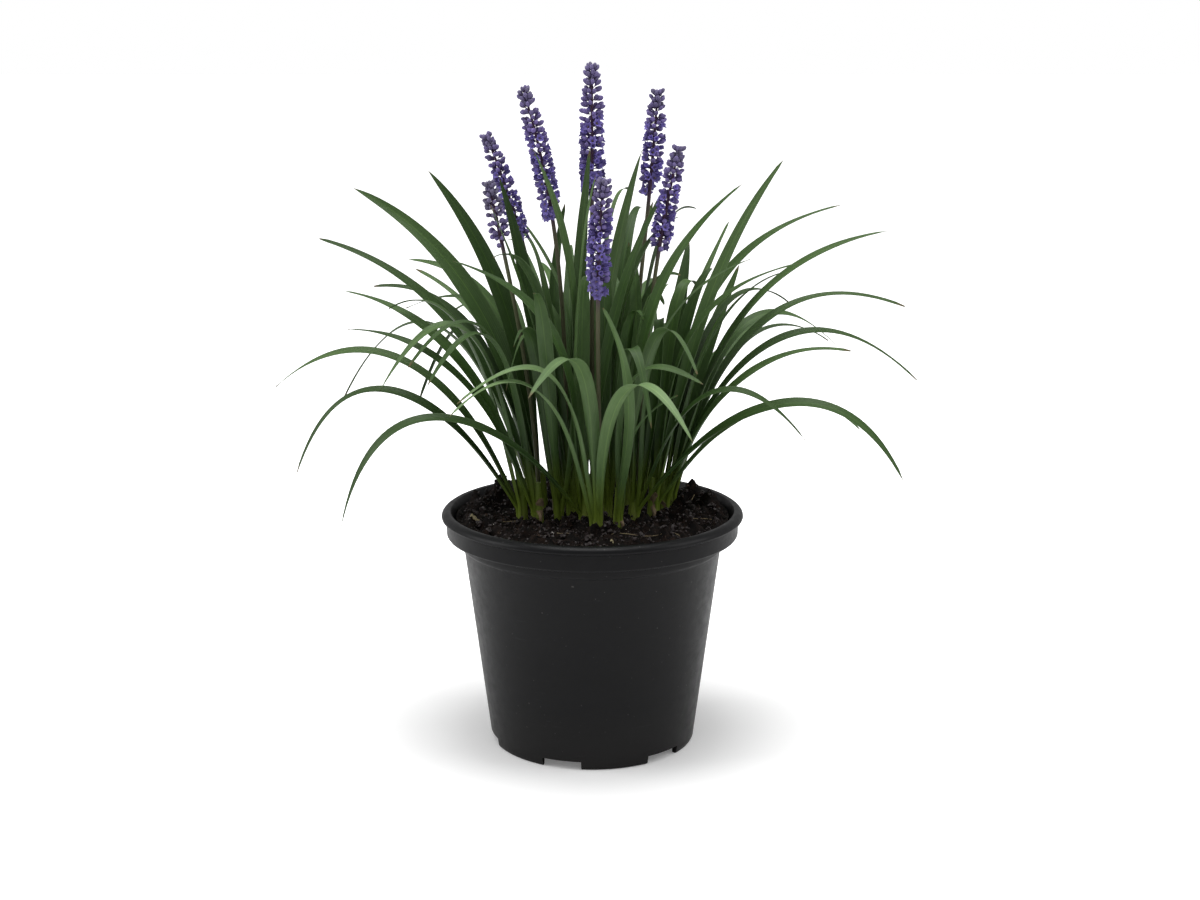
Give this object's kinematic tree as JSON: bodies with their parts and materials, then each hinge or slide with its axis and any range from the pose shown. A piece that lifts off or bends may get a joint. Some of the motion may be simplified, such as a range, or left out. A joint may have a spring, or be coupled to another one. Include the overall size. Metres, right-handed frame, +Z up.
{
  "type": "potted liriope",
  "caption": "Lilyturf clump with arching strap leaves and violet flower spikes, rooted in soil in a black tapered nursery pot.",
  "frame": {"origin": "centre of the pot's underside, on the surface it stands on", "axes": "+Z up along the pot's axis, +X to the right and -Y towards the viewer of the front"},
  "size_m": [0.404, 0.2409, 0.4254],
  "materials": {
    "pot": "matt near-black moulded plastic with a faint sheen on the lip",
    "soil": "moist dark potting soil, crumbly",
    "leaf_mid": "mid-green leaf, satin, ribbed along its length",
    "leaf_deep": "dark green leaf, satin, ribbed along its length",
    "leaf_pale": "sage-green leaf, satin, ribbed along its length",
    "stalk": "olive-brown flower stalk, satin",
    "floret": "violet buds and petals, matt"
  },
  "bodies": {
    "root": {"pot": "pot", "soil": "soil", "shoot_01": "leaf_mid", "shoot_02": "leaf_deep", "shoot_03": "leaf_mid", "shoot_04": "leaf_deep", "shoot_05": "leaf_pale", "shoot_06": "leaf_mid", "shoot_07": "leaf_deep", "shoot_08": "leaf_mid", "shoot_09": "leaf_deep", "shoot_10": "leaf_mid", "shoot_11": "leaf_mid", "shoot_12": "leaf_deep", "shoot_13": "leaf_mid", "shoot_14": "leaf_deep", "shoot_15": "leaf_mid", "shoot_16": "leaf_deep", "shoot_17": "leaf_mid", "shoot_18": "leaf_deep", "shoot_19": "leaf_mid", "stalk_1": "stalk", "head_1": "floret", "stalk_2": "stalk", "head_2": "floret", "stalk_3": "stalk", "head_3": "floret", "stalk_4": "stalk", "head_4": "floret", "stalk_5": "stalk", "head_5": "floret", "stalk_6": "stalk", "head_6": "floret", "stalk_7": "stalk", "head_7": "floret"}
  },
  "joints": []
}
